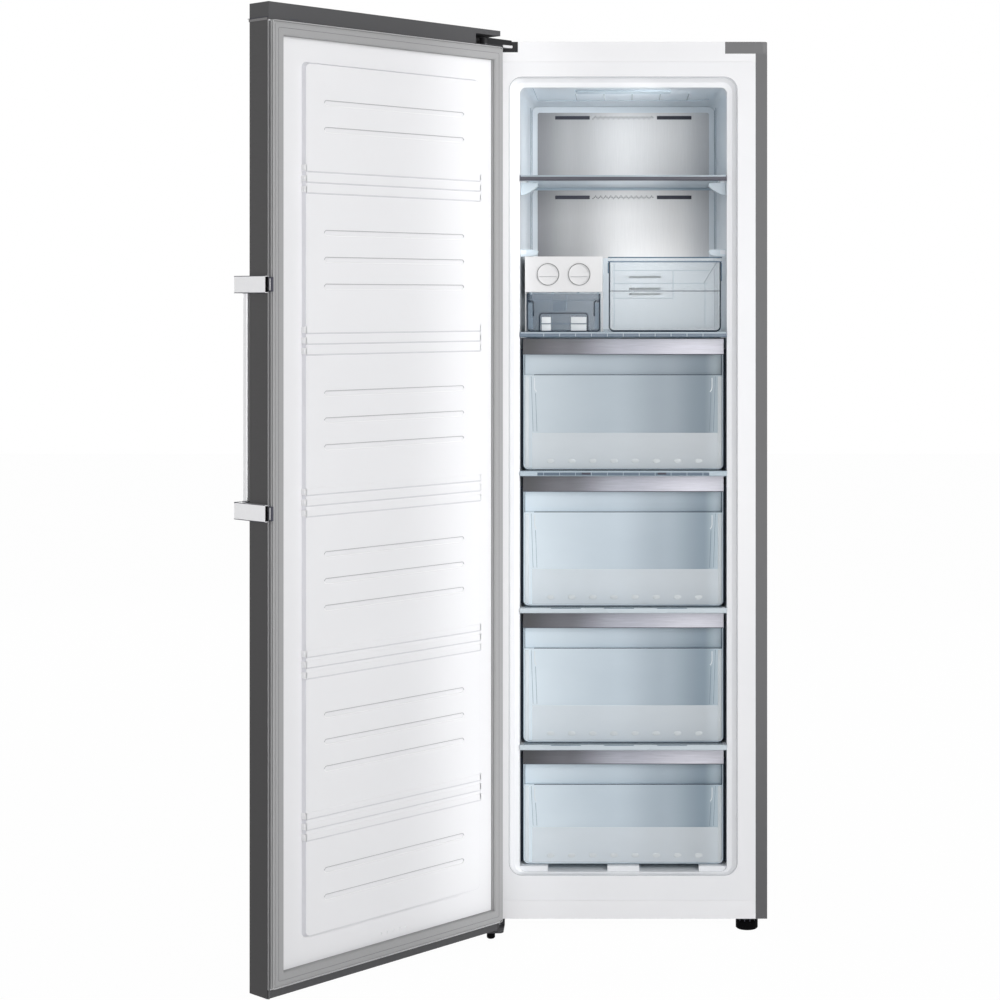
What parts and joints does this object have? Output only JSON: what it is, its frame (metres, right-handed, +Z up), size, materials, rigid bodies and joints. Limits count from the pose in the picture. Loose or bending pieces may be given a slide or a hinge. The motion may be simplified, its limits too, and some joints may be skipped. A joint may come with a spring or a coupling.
{
  "type": "upright freezer",
  "caption": "Tall upright freezer with a hinged door standing open, clear drawers with steel strips, glass shelves, an ice maker and a side handle.",
  "frame": {"origin": "on the floor, under the middle of the cabinet's front face", "axes": "+X to the right seen from the front, +Y to the back, +Z up"},
  "size_m": [1.023, 1.0927, 1.8555],
  "materials": {
    "silver_paint": "satin",
    "white_paint": "gloss",
    "zinc_sheet": "satin",
    "steel": "satin",
    "dark_steel": "satin",
    "foam": "matte",
    "white_plastic": "satin",
    "grey_plastic": "satin",
    "dark_plastic": "matte",
    "black_plastic": "matte",
    "clear_plastic": "gloss",
    "pale_plastic": "satin",
    "shelf_glass": "polished",
    "lamp_glass": "satin",
    "gasket_rubber": "matte",
    "mount_rubber": "matte",
    "aluminium_fins": "satin",
    "handle_paint": "satin",
    "compressor_paint": "gloss"
  },
  "bodies": {
    "cabinet": {"cabinet_wrap": "silver_paint", "back_panel": "zinc_sheet", "base_tray": "zinc_sheet", "cabinet_foam": "foam", "inner_liner": "white_plastic", "front_top_rail": "white_paint", "front_bottom_rail": "white_paint", "corner_trim": "grey_plastic", "hinge_cover": "grey_plastic", "top_hinge_bracket": "dark_steel", "bottom_hinge_bracket": "dark_steel", "duct_panel": "white_plastic", "duct_face_plate": "steel", "evaporator": "aluminium_fins", "defrost_heater": "dark_steel", "fan_motor": "black_plastic", "light_cover": "lamp_glass", "compressor": "compressor_paint", "compressor_mounts": "mount_rubber", "drain_pan": "black_plastic", "machine_room_cover": "zinc_sheet", "roller_brackets": "zinc_sheet", "glass_shelf_1": "shelf_glass", "shelf_trim_1": "pale_plastic", "glass_shelf_2": "shelf_glass", "shelf_trim_2": "pale_plastic", "glass_shelf_3": "shelf_glass", "shelf_trim_3": "pale_plastic", "glass_shelf_4": "shelf_glass", "shelf_trim_4": "pale_plastic", "glass_shelf_5": "shelf_glass", "shelf_trim_5": "pale_plastic", "ice_maker_housing": "white_plastic"},
    "door": {"door_skin": "silver_paint", "door_liner": "white_plastic", "door_foam": "foam", "door_cap_top": "dark_plastic", "door_cap_corner": "dark_plastic", "door_cap_bottom": "dark_plastic", "door_gasket": "gasket_rubber", "handle_bar": "handle_paint", "handle_arms": "handle_paint", "hinge_bushes": "black_plastic"},
    "fan": {"fan_rotor": "black_plastic"},
    "foot_right": {"front_foot_right": "black_plastic"},
    "foot_left": {"front_foot_left": "black_plastic"},
    "roller_left": {"rear_roller_left": "black_plastic"},
    "roller_right": {"rear_roller_right": "black_plastic"},
    "twist_left": {"twist_tray_left": "white_plastic"},
    "twist_right": {"twist_tray_right": "white_plastic"},
    "bucket": {"ice_bucket": "clear_plastic"},
    "small_drawer": {"small_drawer": "clear_plastic"},
    "drawer_1": {"drawer_tub_1": "clear_plastic", "drawer_strip_1": "steel"},
    "drawer_2": {"drawer_tub_2": "clear_plastic", "drawer_strip_2": "steel"},
    "drawer_3": {"drawer_tub_3": "clear_plastic", "drawer_strip_3": "steel"},
    "drawer_4": {"drawer_tub_4": "clear_plastic", "drawer_strip_4": "steel"}
  },
  "joints": [
    {"name": "door_hinge", "type": "hinge", "parent": "cabinet", "child": "door", "pos_m": [-0.2835, -0.043, 0], "axis": [0, 0, -1], "range_deg": [-132.35, 0]},
    {"name": "drawer_1_slide", "type": "slide", "parent": "cabinet", "child": "drawer_1", "axis": [0, -1, 0], "range_m": [0, 0.3]},
    {"name": "drawer_2_slide", "type": "slide", "parent": "cabinet", "child": "drawer_2", "axis": [0, -1, 0], "range_m": [0, 0.3]},
    {"name": "drawer_3_slide", "type": "slide", "parent": "cabinet", "child": "drawer_3", "axis": [0, -1, 0], "range_m": [0, 0.3]},
    {"name": "drawer_4_slide", "type": "slide", "parent": "cabinet", "child": "drawer_4", "axis": [0, -1, 0], "range_m": [0, 0.22]},
    {"name": "small_drawer_slide", "type": "slide", "parent": "cabinet", "child": "small_drawer", "axis": [0, -1, 0], "range_m": [0, 0.25]},
    {"name": "bucket_slide", "type": "slide", "parent": "cabinet", "child": "bucket", "axis": [0, -1, 0], "range_m": [0, 0.2]},
    {"name": "twist_left_turn", "type": "hinge", "parent": "cabinet", "child": "twist_left", "pos_m": [-0.157, 0.042, 1.3597], "axis": [0, 1, 0], "range_deg": [0, 120], "stiffness_Nm_per_rad": 0.08, "springref_deg": -17.19},
    {"name": "twist_right_turn", "type": "hinge", "parent": "cabinet", "child": "twist_right", "pos_m": [-0.092, 0.042, 1.3597], "axis": [0, 1, 0], "range_deg": [0, 120], "stiffness_Nm_per_rad": 0.08, "springref_deg": -17.19},
    {"name": "fan_spin", "type": "hinge", "parent": "cabinet", "child": "fan", "pos_m": [0, 0.478, 1.29], "axis": [0, 1, 0], "continuous": true},
    {"name": "roller_left_spin", "type": "hinge", "parent": "cabinet", "child": "roller_left", "pos_m": [-0.25, 0.545, 0.0125], "axis": [1, 0, 0], "continuous": true},
    {"name": "roller_right_spin", "type": "hinge", "parent": "cabinet", "child": "roller_right", "pos_m": [0.25, 0.545, 0.0125], "axis": [1, 0, 0], "continuous": true},
    {"name": "foot_right_turn", "type": "hinge", "parent": "cabinet", "child": "foot_right", "pos_m": [0.257, 0.032, 0.02], "axis": [0, 0, 1], "continuous": true},
    {"name": "foot_left_turn", "type": "hinge", "parent": "cabinet", "child": "foot_left", "pos_m": [-0.271, -0.043, 0.01], "axis": [0, 0, 1], "continuous": true}
  ]
}
